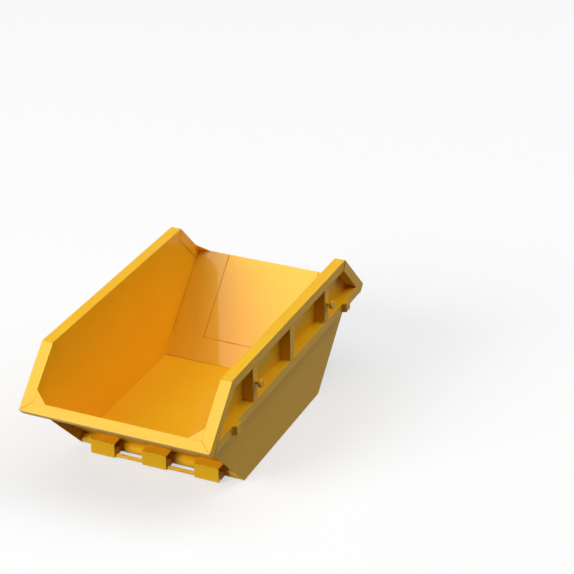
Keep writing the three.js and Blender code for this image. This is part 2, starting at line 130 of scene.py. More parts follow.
# Node groups, and the kinds of their sockets
SPRAYED_SURFACE = "Sprayed surface"
EDGE_WEAR_AND_LIGHT = "Edge wear and painted light"
WELD_RIPPLE = "Weld ripple"
COLOUR = "NodeSocketColor"
NUMBER = "NodeSocketFloat"

# The places of a Mix node's colour sockets: its factor, first and second colour, and its result
MIX_INPUTS = (0, 6, 7)
MIX_RESULT = 2

# White, and the ranges of a mask and of a sine
WHITE = (1.0, 1.0, 1.0, 1.0)
FULL_RANGE = (0.0, 1.0)
SINE_RANGE = (-1.0, 1.0)

# The paint's tone and gloss. Noise scales are per metre, and the range of a noise's values is spread
# over the range that follows it
TONE_NOISE = {"scale": 1.7, "detail": 3.0}
TONE_RANGE = (0.35, 0.65)
TONE_DEPTH = (0.0, 0.55)
GLOSS_NOISE = {"scale": 11.0, "detail": 4.0, "roughness": 0.6}
GLOSS_RANGE = (0.3, 0.7)
GLOSS_CHANGE = (-0.05, 0.05)

# Orange peel, and the slow waves under it, whose height is in heights of the peel
PEEL_SCALE = 170.0
PEEL_NOISE = {"detail": 2.0, "roughness": 0.45}
PEEL_BUMP = {"distance": 0.00012, "strength": 0.5}
WAVE_NOISE = {"scale": 7.0, "detail": 1.0}
WAVE_HEIGHT = 2.0

# Patches of wear and painted highlight along edges, and of painted shade in seams
EDGE_SCALE = 38.0
EDGE_DETAIL = 3.0
EDGE_RANGE = (0.38, 0.62)
EDGE_COVER = (0.25, 1.0)
SEAM_SHADE_RANGE = (0.3, 0.7)
SEAM_SHADE_COVER = (0.7, 1.0)

# Weld ripples: their length in metres, how far they wander in ripples, and the lumps under them,
# whose height is in heights of a ripple
RIPPLE_PITCH = 0.0036
RIPPLE_WANDER = 0.7
RIPPLE_BUMP = {"distance": 0.0011, "strength": 0.8}
WANDER_NOISE = {"scale": 90.0, "detail": 2.0}
LUMP_NOISE = {"scale": 55.0, "detail": 2.0}
LUMP_HEIGHT = 1.4

# Bare steel: its mill scale, its values from clean to scaled, and its grain
SCALE_NOISE = {"scale": 48.0, "detail": 5.0, "roughness": 0.62}
SCALE_RANGE = (0.42, 0.66)
RUB_SCALE = 90.0
STEEL_ROUGHNESS = (0.34, 0.72)
STEEL_METALLIC = (1.0, 0.35)
GRAIN_NOISE = {"scale": 420.0, "detail": 3.0}
GRAIN_BUMP = {"distance": 0.0001, "strength": 0.6}

# The camera's sensor in millimetres, and how far it sees in metres
SENSOR_WIDTH = 36
CLIP_END = 500


class SkipSizes(bpy.types.PropertyGroup):
    """Sizes of the finishing work on the steel."""

    section_radius: FloatProperty(
        name="Section corner", description="Outside radius of folded and welded sections",
        default=0.0022, min=0.0002, subtype="DISTANCE", unit="LENGTH")
    sheet_radius: FloatProperty(
        name="Sheet edge", description="Radius of the sheets' dressed edges",
        default=0.0012, min=0.0002, subtype="DISTANCE", unit="LENGTH")
    edge_steps: IntProperty(
        name="Edge steps", description="Facets across a rounded edge", default=2, min=1, max=6)
    seam_radius: FloatProperty(
        name="Seam edge", description="Radius of the sheet edges that close on a seam",
        default=0.0014, min=0.0001, subtype="DISTANCE", unit="LENGTH")
    gusset_radius: FloatProperty(
        name="Gusset edge", description="Radius of the corner gussets' ground edges",
        default=0.0005, min=0.0001, subtype="DISTANCE", unit="LENGTH")
    bead_radius: FloatProperty(
        name="Weld bead", description="Radius of a weld bead's round face",
        default=0.0036, min=0.001, subtype="DISTANCE", unit="LENGTH")
    lug_facets: IntProperty(
        name="Lug facets", description="Facets round a lifting lug", default=64, min=16, max=128)
    lug_round: FloatProperty(
        name="Lug rim radius", description="Rounding of a lifting lug's head",
        default=0.004, min=0.001, subtype="DISTANCE", unit="LENGTH")


class SkipFinish(bpy.types.PropertyGroup):
    """Colours, gloss and wear of the paint and the bare steel, and the paint's painted highlight on
    edges and painted shade in seams.
    """

    paint: FloatVectorProperty(
        name="Paint", description="Colour of the sprayed paint",
        default=(0.895, 0.495, 0.014), size=3, min=0, max=1, subtype="COLOR")
    deep_paint: FloatVectorProperty(
        name="Deep paint", description="Colour where the paint lies thick",
        default=(0.87, 0.455, 0.010), size=3, min=0, max=1, subtype="COLOR")
    # Painted shade: a darker, redder paint in the seams' grooves, where shade falls
    seam_shade_colour: FloatVectorProperty(
        name="Seam paint", description="Colour in the grooves where two pieces close",
        default=(0.74, 0.27, 0.008), size=3, min=0, max=1, subtype="COLOR")
    # Paler paint along edges: thin paint, and also a painted highlight on them
    thin_paint_and_highlight: FloatVectorProperty(
        name="Thin paint", description="Colour where the paint pulls thin over an edge",
        default=(0.9, 0.56, 0.07), size=3, min=0, max=1, subtype="COLOR")
    steel: FloatVectorProperty(
        name="Steel", description="Colour of the bare pins",
        default=(0.185, 0.172, 0.150), size=3, min=0, max=1, subtype="COLOR")
    steel_scale: FloatVectorProperty(
        name="Mill scale", description="Colour of the dull patches on the bare pins",
        default=(0.095, 0.075, 0.058), size=3, min=0, max=1, subtype="COLOR")
    paint_roughness: FloatProperty(
        name="Paint roughness", description="Roughness of the paint under its clear coat",
        default=0.42, min=0, max=1, subtype="FACTOR")
    paint_specular: FloatProperty(
        name="Paint specular", description="How much the paint mirrors under its clear coat",
        default=0.06, min=0, max=1, subtype="FACTOR")
    polish: FloatProperty(
        name="Polish", description="Weight of the paint's clear coat",
        default=0.11, min=0, max=1, subtype="FACTOR")
    rubbed_polish: FloatProperty(
        name="Rubbed polish", description="Weight of the clear coat on the tube and the tipping bar",
        default=0.28, min=0, max=1, subtype="FACTOR")
    polish_roughness: FloatProperty(
        name="Polish roughness", description="Roughness of the clear coat",
        default=0.035, min=0, max=1, subtype="FACTOR")
    # How much the edges are painted paler, as thin paint and a painted highlight
    paint_wear_and_highlight: FloatProperty(
        name="Paint wear", description="How thin the paint pulls along edges",
        default=0.5, min=0, max=1, subtype="FACTOR")
    steel_wear: FloatProperty(
        name="Steel wear", description="How clean the bare steel's edges are rubbed",
        default=0.9, min=0, max=1, subtype="FACTOR")


class SkipStudio(bpy.types.PropertyGroup):
    """The studio and the camera."""

    key_radiance: FloatProperty(
        name="Overhead brightness", description="Radiance of the large soft lamp overhead",
        default=1.38, min=0)
    key_size: FloatProperty(
        name="Overhead size", description="Side of the large soft lamp overhead",
        default=56.0, min=0.1, subtype="DISTANCE", unit="LENGTH")
    key_direction: FloatVectorProperty(
        name="Overhead direction", description="Where the large soft lamp hangs",
        default=(-0.024, 0.129, 0.991), size=3, subtype="DIRECTION")
    side_radiance: FloatProperty(
        name="Side brightness", description="Radiance of the soft lamp off the tipping end",
        default=11.3, min=0)
    side_size: FloatProperty(
        name="Side size", description="Side of the soft lamp off the tipping end",
        default=30.0, min=0.1, subtype="DISTANCE", unit="LENGTH")
    side_direction: FloatVectorProperty(
        name="Side direction", description="Where the soft lamp off the tipping end stands",
        default=(-0.79, 0.41, 0.455), size=3, subtype="DIRECTION")
    fill_radiance: FloatProperty(
        name="Fill brightness", description="Radiance of the weak soft lamp on the right",
        default=2.15, min=0)
    fill_size: FloatProperty(
        name="Fill size", description="Side of the weak soft lamp on the right",
        default=52.0, min=0.1, subtype="DISTANCE", unit="LENGTH")
    fill_direction: FloatVectorProperty(
        name="Fill direction", description="Where the weak soft lamp on the right stands",
        default=(0.335, -0.57, 0.75), size=3, subtype="DIRECTION")
    sheen_radiance: FloatProperty(
        name="Sheen brightness", description="Radiance of the panel that only shows in gloss",
        default=11.0, min=0)
    sheen_size: FloatProperty(
        name="Sheen size", description="Side of the panel that only shows in gloss",
        default=50.0, min=0.1, subtype="DISTANCE", unit="LENGTH")
    sheen_direction: FloatVectorProperty(
        name="Sheen direction", description="Where the panel that only shows in gloss stands",
        default=(-0.457, 0.2, 0.814), size=3, subtype="DIRECTION")
    lamp_distance: FloatProperty(
        name="Lamp distance", description="Distance of the lamps from the skip",
        default=60.0, min=1, subtype="DISTANCE", unit="LENGTH")
    room_light: FloatProperty(
        name="Room light", description="Brightness of the light from all round",
        default=0.03, min=0)
    floor_colour: FloatVectorProperty(
        name="Floor", description="Colour of the floor",
        default=(0.95, 0.95, 0.95), size=3, min=0, max=1, subtype="COLOR")
    floor_bounce: FloatVectorProperty(
        name="Floor bounce", description="Colour of the light that the floor throws up",
        default=(0.06, 0.06, 0.06), size=3, min=0, max=1, subtype="COLOR")
    floor_glow: FloatProperty(
        name="Floor glow", description="Share of plain white in the floor that the camera sees",
        default=0.6, min=0, max=1, subtype="FACTOR")
    floor_size: FloatProperty(
        name="Floor size", description="Half the floor's side",
        default=120.0, min=1, subtype="DISTANCE", unit="LENGTH")
    lens: FloatProperty(
        name="Lens", description="Focal length on a 36 mm sensor",
        default=128.65, min=10, subtype="DISTANCE_CAMERA")
    azimuth: FloatProperty(
        name="Azimuth", description="Camera's turn round the skip",
        default=math.radians(-66.109), subtype="ANGLE", unit="ROTATION")
    elevation: FloatProperty(
        name="Elevation", description="Camera's angle above the horizon",
        default=math.radians(27.1534), subtype="ANGLE", unit="ROTATION")
    roll: FloatProperty(
        name="Roll", description="Camera's turn about its own axis",
        default=math.radians(-0.1853), subtype="ANGLE", unit="ROTATION")
    camera_offset: FloatVectorProperty(
        name="Camera offset", description="Camera's place from the origin, to its right, up and back",
        default=(0.73185, 1.12863, 17.75242), size=3, subtype="TRANSLATION", unit="LENGTH")


def sizes():
    """The sizes, as the panel has them."""
    return bpy.context.scene.skip_sizes


def finish():
    """The colours and the gloss, as the panel has them."""
    return bpy.context.scene.skip_finish


def studio():
    """The studio and the camera, as the panel has them."""
    return bpy.context.scene.skip_studio


# Node trees


def new_group(name, inputs, outputs):
    """An empty node group with its sockets, and its input and output nodes."""
    group = bpy.data.node_groups.new(name, "ShaderNodeTree")
    for way, sockets in (("INPUT", inputs), ("OUTPUT", outputs)):
        for label, kind in sockets.items():
            group.interface.new_socket(label, in_out=way, socket_type=kind)
    return group, group.nodes.new("NodeGroupInput"), group.nodes.new("NodeGroupOutput")


def place_group(tree, name, build, values):
    """A node group in a material, with its inputs set. The group is built the first time."""
    node = tree.nodes.new("ShaderNodeGroup")
    node.node_tree = bpy.data.node_groups.get(name) or build()
    for label, value in values.items():
        node.inputs[label].default_value = value
    return node


def feed(tree, socket, value):
    """Links a socket to another one, or sets it to a number or a colour."""
    if isinstance(value, bpy.types.NodeSocket):
        tree.links.new(value, socket)
    else:
        socket.default_value = value


def calculate(tree, operation, *values, clamp=False):
    """A Math node fed with sockets or numbers."""
    node = tree.nodes.new("ShaderNodeMath")
    node.operation = operation
    node.use_clamp = clamp
    for socket, value in zip(node.inputs, values):
        feed(tree, socket, value)
    return node.outputs["Value"]


def mix_colours(tree, factor, first, second):
    """A Mix node between two colours, fed with sockets or values."""
    node = tree.nodes.new("ShaderNodeMix")
    node.data_type = "RGBA"
    for place, value in zip(MIX_INPUTS, (factor, first, second)):
        feed(tree, node.inputs[place], value)
    return node.outputs[MIX_RESULT]


def rescale(tree, value, given, wanted):
    """A Map Range node from one range to another, which stays inside it."""
    node = tree.nodes.new("ShaderNodeMapRange")
    tree.links.new(value, node.inputs["Value"])
    for label, limit in zip(("From Min", "From Max", "To Min", "To Max"), (*given, *wanted)):
        node.inputs[label].default_value = limit
    return node.outputs["Result"]


def noise(tree, place, scale, detail, roughness=0.5):
    """A Noise texture's value. Its scale may be a socket."""
    node = tree.nodes.new("ShaderNodeTexNoise")
    tree.links.new(place, node.inputs["Vector"])
    for label, value in (("Scale", scale), ("Detail", detail), ("Roughness", roughness)):
        feed(tree, node.inputs[label], value)
    return node.outputs["Fac"]


def object_place(tree):
    """Object coordinates, in which all patterns lie."""
    return tree.nodes.new("ShaderNodeTexCoord").outputs["Object"]


def attribute(tree, name):
    """The value of one of the piece's own attributes."""
    node = tree.nodes.new("ShaderNodeAttribute")
    node.attribute_name = name
    return node.outputs["Fac"]


def bump(tree, height, distance, strength):
    """The normal that a height gives. Distance is how high a height of 1 is, in metres."""
    node = tree.nodes.new("ShaderNodeBump")
    node.inputs["Strength"].default_value = strength
    node.inputs["Distance"].default_value = distance
    tree.links.new(height, node.inputs["Height"])
    return node.outputs["Normal"]


def colour(value):
    """An opaque colour, for a socket."""
    return (*value, 1.0)


# Effects


def sprayed_group():
    """Slow changes of tone and gloss over a sprayed surface, and its orange peel."""
    group, given, result = new_group(
        SPRAYED_SURFACE,
        {"Colour": COLOUR, "Deep Colour": COLOUR, "Peel Scale": NUMBER, "Roughness": NUMBER},
        {"Colour": COLOUR, "Roughness": NUMBER, "Height": NUMBER})
    place = object_place(group)
    tone = rescale(group, noise(group, place, **TONE_NOISE), TONE_RANGE, TONE_DEPTH)
    group.links.new(mix_colours(group, tone, given.outputs["Colour"], given.outputs["Deep Colour"]),
                    result.inputs["Colour"])
    gloss = rescale(group, noise(group, place, **GLOSS_NOISE), GLOSS_RANGE, GLOSS_CHANGE)
    group.links.new(calculate(group, "ADD", given.outputs["Roughness"], gloss, clamp=True),
                    result.inputs["Roughness"])
    peel = noise(group, place, given.outputs["Peel Scale"], **PEEL_NOISE)
    wave = calculate(group, "MULTIPLY", noise(group, place, **WAVE_NOISE), WAVE_HEIGHT)
    group.links.new(calculate(group, "ADD", peel, wave), result.inputs["Height"])
    return group


def edge_group():
    """Where paint pulls thin and is painted lighter as a highlight, or scale rubs off, along edges, and
    where a seam gets painted shade. On rounded edges the edge attribute is 1, or the seam attribute
    where they lie in a seam."""
    group, given, result = new_group(EDGE_WEAR_AND_LIGHT, {"Scale": NUMBER, "Amount": NUMBER},
                                     {"Mask": NUMBER, "Seam": NUMBER})
    patches = noise(group, object_place(group), given.outputs["Scale"], EDGE_DETAIL)
    worn_and_lit = calculate(group, "MULTIPLY", attribute(group, EDGE),
                     rescale(group, patches, EDGE_RANGE, EDGE_COVER))
    group.links.new(calculate(group, "MULTIPLY", worn_and_lit, given.outputs["Amount"], clamp=True),
                    result.inputs["Mask"])
    painted_seam_shade = calculate(group, "MULTIPLY", attribute(group, SEAM),
                       rescale(group, patches, SEAM_SHADE_RANGE, SEAM_SHADE_COVER), clamp=True)
    group.links.new(painted_seam_shade, result.inputs["Seam"])
    return group


def ripple_group():
    """The ripples of a weld bead, which follow one another along its run attribute."""
    group, given, result = new_group(WELD_RIPPLE, {"Pitch": NUMBER, "Wander": NUMBER},
                                     {"Height": NUMBER})
    place = object_place(group)
    steps = calculate(group, "DIVIDE", attribute(group, RUN), given.outputs["Pitch"])
    wander = calculate(group, "MULTIPLY", noise(group, place, **WANDER_NOISE), given.outputs["Wander"])
    turn = calculate(group, "MULTIPLY", calculate(group, "ADD", steps, wander), math.tau)
    ripple = rescale(group, calculate(group, "SINE", turn), SINE_RANGE, FULL_RANGE)
    lumps = calculate(group, "MULTIPLY", noise(group, place, **LUMP_NOISE), LUMP_HEIGHT)
    group.links.new(calculate(group, "ADD", ripple, lumps), result.inputs["Height"])
    return group


# Materials


def new_material(name):
    """A material with its node tree and its Principled shader."""
    material = bpy.data.materials.new(name)
    material.use_nodes = True
    return material, material.node_tree, material.node_tree.nodes["Principled BSDF"]


def paint_material(name, polish):
    """Glossy yellow paint, with polish as the weight of its clear coat. On welds it takes on their
    ripples, and elsewhere it has orange peel, is painted paler along edges as thin paint and a
    painted highlight, and is painted darker in seams as painted shade."""
    look = finish()
    material, tree, shader = new_material(name)
    surface = place_group(tree, SPRAYED_SURFACE, sprayed_group, {
        "Colour": colour(look.paint), "Deep Colour": colour(look.deep_paint),
        "Peel Scale": PEEL_SCALE, "Roughness": look.paint_roughness})
    base = surface.outputs["Colour"]
    if name == PAINTED_WELD:
        bead = place_group(tree, WELD_RIPPLE, ripple_group, {
            "Pitch": RIPPLE_PITCH, "Wander": RIPPLE_WANDER})
        normal = bump(tree, bead.outputs["Height"], **RIPPLE_BUMP)
    else:
        edges = place_group(tree, EDGE_WEAR_AND_LIGHT, edge_group, {
            "Scale": EDGE_SCALE, "Amount": look.paint_wear_and_highlight})
        # Edges painted paler as thin paint and a painted highlight, and seams painted darker as painted
        # shade
        base = mix_colours(tree, edges.outputs["Mask"], base, colour(look.thin_paint_and_highlight))
        base = mix_colours(tree, edges.outputs["Seam"], base, colour(look.seam_shade_colour))
        normal = bump(tree, surface.outputs["Height"], **PEEL_BUMP)
    tree.links.new(base, shader.inputs["Base Color"])
    tree.links.new(surface.outputs["Roughness"], shader.inputs["Roughness"])
    tree.links.new(normal, shader.inputs["Normal"])
    shader.inputs["Specular IOR Level"].default_value = look.paint_specular
    shader.inputs["Coat Weight"].default_value = polish
    shader.inputs["Coat Roughness"].default_value = look.polish_roughness
    return material


def steel_material(name):
    """Dull bare steel with darker mill scale, which is rubbed off along edges."""
    look = finish()
    material, tree, shader = new_material(name)
    place = object_place(tree)
    patches = rescale(tree, noise(tree, place, **SCALE_NOISE), SCALE_RANGE, FULL_RANGE)
    rubbed = place_group(tree, EDGE_WEAR_AND_LIGHT, edge_group, {
        "Scale": RUB_SCALE, "Amount": look.steel_wear})
    scale = calculate(tree, "SUBTRACT", patches, rubbed.outputs["Mask"], clamp=True)
    tree.links.new(mix_colours(tree, scale, colour(look.steel), colour(look.steel_scale)),
                   shader.inputs["Base Color"])
    tree.links.new(rescale(tree, scale, FULL_RANGE, STEEL_ROUGHNESS), shader.inputs["Roughness"])
    tree.links.new(rescale(tree, scale, FULL_RANGE, STEEL_METALLIC), shader.inputs["Metallic"])
    tree.links.new(bump(tree, noise(tree, place, **GRAIN_NOISE), **GRAIN_BUMP),
                   shader.inputs["Normal"])
    return material


def shared_material(name):
    """The finish of that name, built the first time it is asked for."""
    made = bpy.data.materials.get(name)
    if made:
        return made
    if name == BARE_STEEL:
        return steel_material(name)
    return paint_material(name, finish().rubbed_polish if name == RUBBED_PAINT else finish().polish)


# Meshes


def body_of(node):
    """The body that a CAD node rides on."""
    return NODES[node]["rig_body"]


def merged_copy(node):
    """A CAD node's solid with its loose triangles merged into whole flat faces."""
    bm = bmesh.new()
    bm.from_mesh(NODES[node].data)
    for face in bm.faces:
        face.smooth = False
    bmesh.ops.remove_doubles(bm, verts=bm.verts, dist=MERGE_DISTANCE)
    bmesh.ops.dissolve_limit(bm, angle_limit=FLAT_ANGLE, verts=bm.verts, edges=bm.edges)
    return bm


def new_object(bm, name, material):
    """An object made of a bmesh, which is used up."""
    mesh = bpy.data.meshes.new(name)
    bm.to_mesh(mesh)
    bm.free()
    mesh.materials.append(material)
    made = bpy.data.objects.new(name, mesh)
    bpy.context.scene.collection.objects.link(made)
    return made


def keep_piece(bm, name, body, finish_name, node=None):
    """Makes a finished piece of a bmesh, which rides on a body and may stand for a CAD node."""
    piece = new_object(bm, name, shared_material(finish_name))
    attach(piece, body)
    if node:
        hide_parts(node)


def pointing(way):
    """The turn that points Z a way."""
    return way.to_track_quat("Z", "Y").to_matrix().to_4x4()


def spin_round(bm, geom, centre, axis):
    """Spins an outline a full turn into a closed shape."""
    bmesh.ops.spin(bm, geom=geom, cent=centre, axis=axis, dvec=(0, 0, 0), angle=math.tau,
                   steps=sizes().lug_facets, use_merge=True, use_normal_flip=False,
                   use_duplicate=False)


def convex_edges(bm):
    """A solid's convex edges that are too sharp to be facets of a round face."""
    return [e for e in bm.edges if e.is_manifold and e.is_convex and e.calc_face_angle() > EDGE_ANGLE]


def outer_edges(bm):
    """A solid's convex edges, without those round the inner walls of a hollow section: these walls
    face the solid's own middle."""
    middle = sum((v.co for v in bm.verts), Vector()) / len(bm.verts)
    inside = {f for f in bm.faces if (f.calc_center_median() - middle).dot(f.normal) < 0}
    return [e for e in convex_edges(bm) if not inside.intersection(e.link_faces)]


def looks(face, way, share):
    """True for a face that looks a way at least that squarely."""
    return face.normal.dot(Vector(way).normalized()) > share


def is_flush(edge, flush):
    """True for an edge between two faces that look the two ways of one of the pairs."""
    one, other = edge.link_faces
    return any(looks(one, first, SQUARE_SHARE) and looks(other, second, SQUARE_SHARE)
               for pair in flush for first, second in (pair, pair[::-1]))


def seam_lines(edges, ways):
    """Both ends of each of the edges that border a face which roughly looks one of the ways."""
    return [tuple(v.co.copy() for v in edge.verts) for edge in edges
            if any(looks(face, way, SEAM_SHARE) for face in edge.link_faces for way in ways)]


def beside(point, lines, reach):
    """True for a point that one of the lines passes within reach."""
    for start, end in lines:
        nearest, share = intersect_point_line(point, start, end)
        if 0 <= share <= 1 and (point - nearest).length < reach:
            return True
    return False


def round_off(bm, edges, radius, ways=()):
    """Rounds edges, and marks them in the edge attribute. Those that border a face which looks one
    of the ways lie in a seam, and are marked in the seam attribute instead. The paint is painted
    paler on the edges as a highlight, and darker in the seams as painted shade."""
    for edge in bm.edges:
        if edge.is_manifold and FLAT_ANGLE < edge.calc_face_angle() < EDGE_ANGLE:
            for face in edge.link_faces:
                face.smooth = True
    lines = seam_lines(edges, ways)
    marks = {name: bm.faces.layers.float.new(name) for name in (EDGE, SEAM)}
    rounded = bmesh.ops.bevel(bm, geom=edges, offset=radius, offset_type="OFFSET", affect="EDGES",
                              segments=sizes().edge_steps, profile=0.5, clamp_overlap=True, material=-1)
    for face in rounded["faces"]:
        name = SEAM if beside(face.calc_center_median(), lines, radius) else EDGE
        face[marks[name]] = 1.0
        face.smooth = True


def finish_node(node, radius, finish_name=PAINTED_STEEL, ways=(), flush=()):
    """A CAD node's solid with rounded edges, in place of the node. Its flush edges, where it is
    ground level with its neighbour, stay sharp."""
    bm = merged_copy(node)
    round_off(bm, [edge for edge in outer_edges(bm) if not is_flush(edge, flush)], radius, ways)
    keep_piece(bm, f"{node}_finished", body_of(node), finish_name, node)


# Welds


def weld_mesh():
    """An empty mesh whose run attribute holds the distance along each weld."""
    bm = bmesh.new()
    bm.verts.layers.float.new(RUN)
    return bm


def seam_line(node, facing, towards):
    """Where a weld runs along a node: on the face that looks one way, the edge farthest towards
    another. Gives the edge's two ends, and the way out of its corner, with a step of 1 along each
    of the corner's faces."""
    bm = merged_copy(node)
    facing = Vector(facing).normalized()
    towards = Vector(towards).normalized()
    face = max(bm.faces, key=lambda f: (round(f.normal.dot(facing), FACING_DECIMALS),
                                        f.calc_center_median().dot(facing)))
    edge = max(face.edges, key=lambda e: (e.verts[0].co + e.verts[1].co).dot(towards))
    start, end = [v.co.copy() for v in edge.verts]
    normal = face.normal.copy()
    bm.free()
    inward = normal.cross(end - start).normalized()
    if inward.dot(towards) > 0:
        inward.negate()
    return start, end, inward + normal


def lay_bead(bm, start, end, out):
    """A straight fillet weld: a round bead sunk into its corner, with narrow ends. Out is the way out
    of the corner, as seam_line gives it."""
    run = bm.verts.layers.float[RUN]
    radius = sizes().bead_radius
    along = (end - start).normalized()
    length = (end - start).length - 2 * BEAD_MARGIN * radius
    centre = start + along * BEAD_MARGIN * radius + out * radius * BEAD_STAND
    ring = bmesh.ops.create_circle(bm, cap_ends=True, segments=BEAD_FACETS, radius=radius * BEAD_TIP,
                                   matrix=Matrix.Translation(centre) @ pointing(along))["verts"]
    tip = ring[0].link_faces[0]
    reached = 0.0
    for reach, growth in ((radius, 1 / BEAD_TIP), (length - radius, 1.0), (length, BEAD_TIP)):
        grown = bmesh.ops.extrude_face_region(bm, geom=[tip])["geom"]
        ring = [part for part in grown if isinstance(part, bmesh.types.BMVert)]
        tip = next(part for part in grown if isinstance(part, bmesh.types.BMFace))
        bmesh.ops.scale(bm, vec=(growth, growth, growth), verts=ring,
                        space=Matrix.Translation(-(centre + along * reached)))
        bmesh.ops.translate(bm, vec=along * (reach - reached), verts=ring)
        for vert in ring:
            vert[run] = reach
        reached = reach


def lay_ring_bead(bm, centre, axis, radius):
    """A fillet weld round the foot of a round pin. Its run grows both ways round from one side."""
    run = bm.verts.layers.float[RUN]
    bead = sizes().bead_radius
    side = axis.orthogonal().normalized()
    middle = centre + side * (radius + bead * BEAD_STAND) + axis * bead * BEAD_STAND
    place = Matrix.Translation(middle) @ pointing(axis.cross(side))
    ring = bmesh.ops.create_circle(bm, cap_ends=False, segments=BEAD_FACETS, radius=bead,
                                   matrix=place)["verts"]
    edges = list({edge for vert in ring for edge in vert.link_edges})
    spin_round(bm, ring + edges, centre, axis)
    for vert in bm.verts:
        spoke = vert.co - centre
        if spoke.length < radius + BEAD_REACH * bead:
            vert[run] = radius * (math.pi + side.angle(spoke - axis * spoke.dot(axis)))


def keep_welds(bm, name, body):
    """Makes a painted piece of the welds on one body."""
    bmesh.ops.recalc_face_normals(bm, faces=bm.faces)
    for face in bm.faces:
        face.smooth = True
    keep_piece(bm, name, body, PAINTED_WELD)


def weld_seams(name, seams):
    """Welds along seams, each given as a node and the two ways that seam_line needs."""
    bm = weld_mesh()
    for seam in seams:
        lay_bead(bm, *seam_line(*seam))
    keep_welds(bm, name, body_of(seams[0][0]))


# Operators


class SKIP_OT_rim_frame(bpy.types.Operator):
    """Rails, chamfer rails, end rims and corner gussets"""

    bl_idname = "skip.rim_frame"
    bl_label = "Rim frame"

    def execute(self, context):
        radius = sizes().section_radius
        finish_node("bar_end_rim", radius, ways=CROSSWAYS, flush=[(BAR_INWARD, BAR_DOWNWARD)])
        for side, sign in SIDES:
            inward = (0, -sign, 0)
            finish_node(f"top_rail_{side}", radius, ways=LENGTHWAYS, flush=[(inward, DOWN)])
            finish_node(f"door_end_rim_{side}", radius, ways=CROSSWAYS,
                        flush=[(DOOR_INWARD, DOOR_DOWNWARD)])
            for end, way in ENDS:
                downhill = (way, 0, -1)
                uphill = (-way, 0, 1)
                underneath = (-way, 0, -1)
                finish_node(f"{end}_chamfer_rail_{side}", radius, ways=(downhill, uphill),
                            flush=[(inward, underneath)])
                finish_node(f"{end}_corner_gusset_{side}", sizes().gusset_radius)
        return {"FINISHED"}


class SKIP_OT_tub(bpy.types.Operator):
    """Floor, sides and end sheets of the tub, and the stiles on its wings"""

    bl_idname = "skip.tub"
    bl_label = "Tub"

    def execute(self, context):
        radius = sizes().sheet_radius
        seams = [("floor_plate", UP, DOORWARD), ("bar_end_plate", BAR_OUTWARD, BAR_UPWARD)]
        finish_node("floor_plate", radius)
        finish_node("bar_end_plate", radius, flush=[(BAR_INWARD, BAR_UPWARD)])
        finish_node("door_end_sill", sizes().seam_radius, flush=[(DOOR_INWARD, DOOR_UPWARD)])
        for side, sign in SIDES:
            across = (0, sign, 0)
            inward = (0, -sign, 0)
            wing = f"door_end_wing_{side}"
            finish_node(f"side_plate_{side}", radius,
                        flush=[(inward, UP), (inward, DOOR_UPWARD), (inward, BAR_UPWARD)])
            finish_node(wing, sizes().seam_radius, ways=[inward],
                        flush=[(DOOR_INWARD, DOOR_UPWARD), (DOOR_INWARD, DOOR_DOWNWARD)])
            finish_node(f"wing_stile_{side}", sizes().section_radius)
            seams += [("floor_plate", UP, across), ("bar_end_plate", BAR_INWARD, across),
                      ("bar_end_plate", BAR_OUTWARD, across), ("door_end_sill", DOOR_INWARD, across),
                      ("door_end_sill", DOOR_OUTWARD, across), (wing, DOOR_INWARD, across),
                      (wing, DOOR_OUTWARD, across), (f"wing_stile_{side}", across, DOOR_INWARD)]
        weld_seams("tub_welds", seams)
        return {"FINISHED"}


class SKIP_OT_side_frame(bpy.types.Operator):
    """Lower rails, posts and rubbing blocks"""

    bl_idname = "skip.side_frame"
    bl_label = "Side frame"

    def execute(self, context):
        radius = sizes().section_radius
        for side, sign in SIDES:
            outward = (0, sign, 0)
            inward = (0, -sign, 0)
            rail = f"lower_rail_{side}"
            sheet = f"side_plate_{side}"
            finish_node(rail, radius, ways=LENGTHWAYS)
            seams = [(rail, UP, inward), (rail, DOWN, inward), (sheet, outward, UP)]
            for name in POSTS:
                post = f"{name}_post_{side}"
                finish_node(post, radius)
                seams += [(post, UP, outward), (post, outward, DOWN)]
                seams += [(post, facing, towards)
                          for facing in LENGTHWAYS for towards in (inward, UP, DOWN)]
            for end, way in ENDS:
                block = f"{end}_rail_block_{side}"
                finish_node(block, radius)
                seams += [(block, facing, inward) for facing in (*LENGTHWAYS, DOWN)]
                seams.append((sheet, outward, (way, 0, 1)))
            weld_seams(f"side_frame_welds_{side}", seams)
        return {"FINISHED"}


